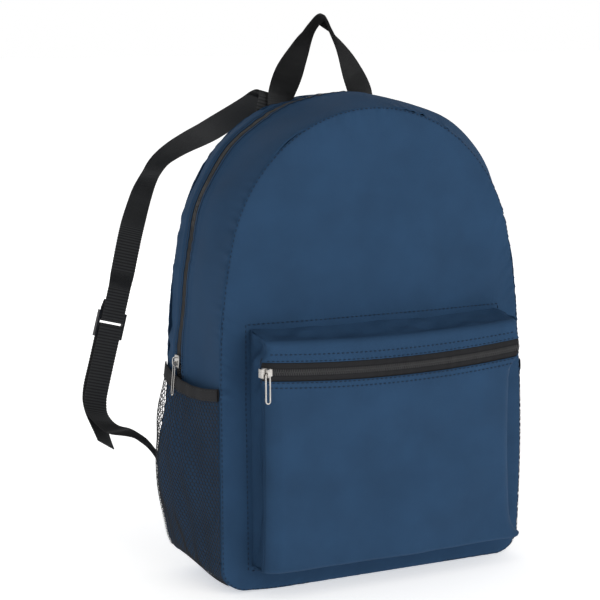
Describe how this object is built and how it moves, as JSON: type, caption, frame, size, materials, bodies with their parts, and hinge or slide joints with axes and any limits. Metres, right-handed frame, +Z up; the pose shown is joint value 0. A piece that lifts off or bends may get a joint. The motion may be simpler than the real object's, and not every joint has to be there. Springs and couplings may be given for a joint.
{
  "type": "school backpack",
  "caption": "Arched school backpack with a zipped main compartment, zipped front box pocket, mesh side pockets, grab handle and two adjustable webbing shoulder straps.",
  "frame": {"origin": "middle of the flat underside that the bag stands on, midway between the front and back seams", "axes": "+Z up, +Y towards the wearer's back and the shoulder straps, -Y towards the front pocket, +X to the right as seen from the front pocket"},
  "size_m": [0.3378, 0.3325, 0.4862],
  "materials": {
    "navy_cloth": "fine plain-weave polyester, soft sheen",
    "zipper_tape": "matt woven tape",
    "zipper_coil": "nylon coil",
    "zipper_metal": "bright nickel plate on die-cast zinc",
    "net": "open knitted net",
    "webbing": "25 mm ribbed webbing",
    "pocket_binding": "folded knitted binding",
    "seam_binding": "woven seam binding, inside",
    "plastic": "moulded acetal, fine satin"
  },
  "bodies": {
    "bag": {"back_panel": "navy_cloth", "back_seam_binding": "seam_binding", "bottom_panel": "navy_cloth", "front_panel": "navy_cloth", "front_seam_binding": "seam_binding", "gusset_front_strip": "navy_cloth", "gusset_rear_strip": "navy_cloth", "handle_end_left": "webbing", "handle_end_right": "webbing", "left_mesh_pocket": "net", "left_pocket_rim": "pocket_binding", "left_side_panel": "navy_cloth", "left_strap_anchor": "webbing", "left_strap_root": "webbing", "main_zipper_coil_front": "zipper_coil", "main_zipper_coil_rear": "zipper_coil", "main_zipper_tape_front": "zipper_tape", "main_zipper_tape_rear": "zipper_tape", "pocket_bottom_wall": "navy_cloth", "pocket_front_panel": "navy_cloth", "pocket_left_wall": "navy_cloth", "pocket_right_wall": "navy_cloth", "pocket_upper_panel": "navy_cloth", "pocket_zipper_coil_lower": "zipper_coil", "pocket_zipper_coil_upper": "zipper_coil", "pocket_zipper_tape_lower": "zipper_tape", "pocket_zipper_tape_upper": "zipper_tape", "right_mesh_pocket": "net", "right_pocket_rim": "pocket_binding", "right_side_panel": "navy_cloth", "right_strap_anchor": "webbing", "right_strap_root": "webbing"},
    "main_slider": {"main_zipper_slider": "zipper_metal"},
    "main_pull": {"main_zipper_pull": "zipper_metal"},
    "pocket_slider": {"pocket_zipper_slider": "zipper_metal"},
    "pocket_pull": {"pocket_zipper_pull": "zipper_metal"},
    "handle": {"grab_handle": "webbing"},
    "left_strap": {"left_upper_webbing": "webbing", "left_lower_webbing": "webbing"},
    "left_lock": {"left_strap_fold": "webbing", "left_ladder_lock": "plastic"},
    "right_strap": {"right_upper_webbing": "webbing", "right_lower_webbing": "webbing"},
    "right_lock": {"right_strap_fold": "webbing", "right_ladder_lock": "plastic"}
  },
  "joints": [
    {"name": "main_slider_travel", "type": "hinge", "parent": "bag", "child": "main_slider", "pos_m": [0.371, 0.022, 0.184], "axis": [0, 1, 0], "range_deg": [0, 11.5]},
    {"name": "main_pull_flip", "type": "hinge", "parent": "main_slider", "child": "main_pull", "pos_m": [-0.15566, 0.022, 0.19008], "axis": [0, 1, 0], "range_deg": [0, 160]},
    {"name": "pocket_slider_travel", "type": "slide", "parent": "bag", "child": "pocket_slider", "axis": [1, 0, 0], "range_m": [0, 0.238]},
    {"name": "pocket_pull_flip", "type": "hinge", "parent": "pocket_slider", "child": "pocket_pull", "pos_m": [-0.1265, -0.0947, 0.1945], "axis": [-1, 0, 0], "range_deg": [0, 165]},
    {"name": "handle_fold", "type": "hinge", "parent": "bag", "child": "handle", "pos_m": [0.005, 0.0495, 0.414], "axis": [1, 0, 0], "range_deg": [-50, 70], "stiffness_Nm_per_rad": 0.03},
    {"name": "left_strap_swing", "type": "hinge", "parent": "bag", "child": "left_strap", "pos_m": [-0.043, 0.0525, 0.413], "axis": [0.2568, 0, 0.9665], "range_deg": [-20, 45], "stiffness_Nm_per_rad": 0.2},
    {"name": "left_strap_adjust", "type": "slide", "parent": "left_strap", "child": "left_lock", "axis": [-0.2568, 0, -0.9665], "range_m": [0, 0.028], "deforming": ["left_lower_webbing"]},
    {"name": "right_strap_swing", "type": "hinge", "parent": "bag", "child": "right_strap", "pos_m": [0.043, 0.0525, 0.413], "axis": [0.2568, 0, -0.9665], "range_deg": [-20, 45], "stiffness_Nm_per_rad": 0.2},
    {"name": "right_strap_adjust", "type": "slide", "parent": "right_strap", "child": "right_lock", "axis": [0.2568, 0, -0.9665], "range_m": [0, 0.028], "deforming": ["right_lower_webbing"]}
  ]
}
